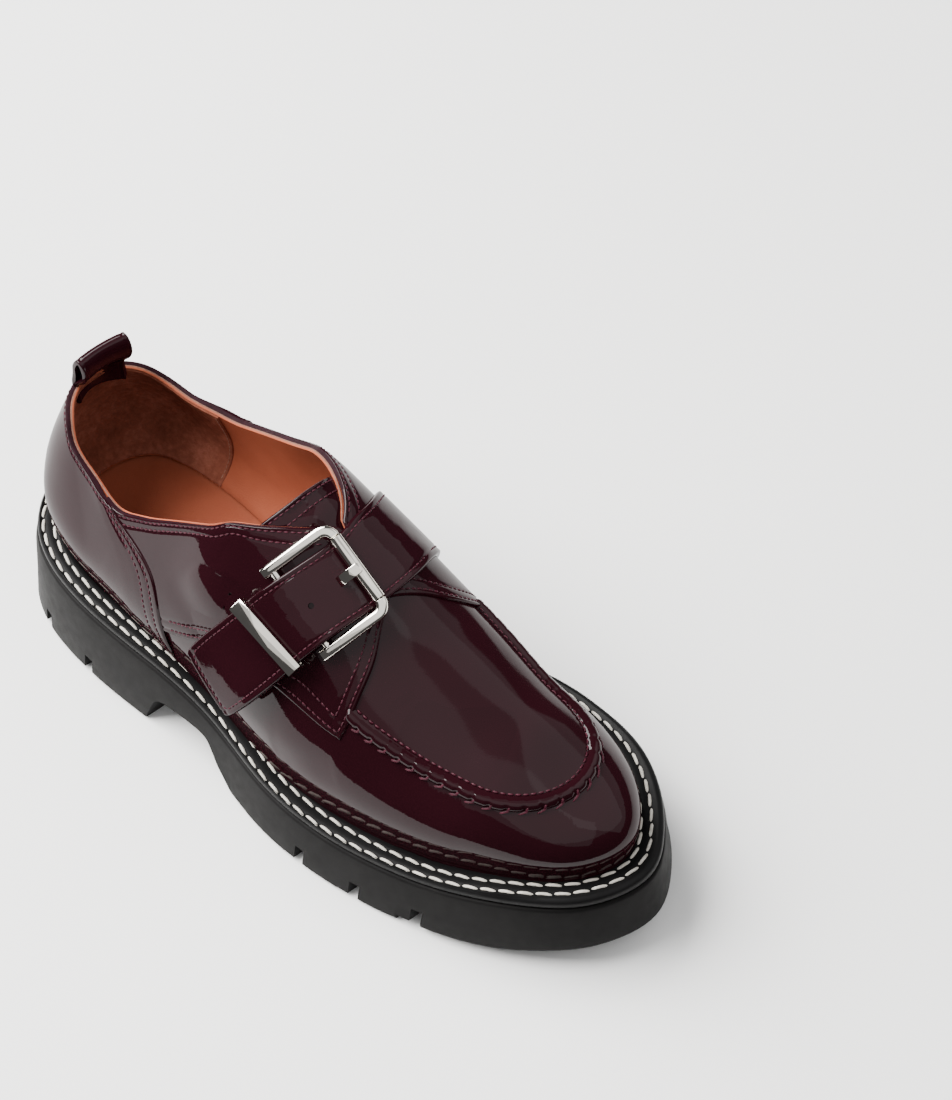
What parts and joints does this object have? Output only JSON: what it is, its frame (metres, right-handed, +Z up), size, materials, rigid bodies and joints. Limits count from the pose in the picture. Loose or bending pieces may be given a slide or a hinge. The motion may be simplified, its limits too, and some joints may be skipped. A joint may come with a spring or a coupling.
{
  "type": "buckled leather shoe",
  "caption": "Right-foot patent leather shoe with a buckled strap over the instep, apron toe, heel pull loop and thick lugged rubber sole.",
  "frame": {"origin": "on the floor, under the middle of the shoe's bounding box", "axes": "+X from heel to toe, +Y to the inner side of the right foot, +Z up"},
  "size_m": [0.2839, 0.1118, 0.1188],
  "materials": {
    "sole_rubber": "matte moulded black rubber",
    "welt_rubber": "satin black",
    "lining_leather": "matte tan lining leather",
    "patent_leather": "high gloss dark burgundy patent",
    "polished_nickel": "polished nickel"
  },
  "bodies": {
    "root": {"outsole": "sole_rubber", "welt": "welt_rubber", "insole": "lining_leather", "upper": "patent_leather", "tongue": "patent_leather", "strap": "patent_leather", "pull_loop": "patent_leather", "buckle_frame": "polished_nickel", "buckle_roller": "polished_nickel", "buckle_prong": "polished_nickel", "strap_keeper": "polished_nickel"}
  },
  "joints": []
}
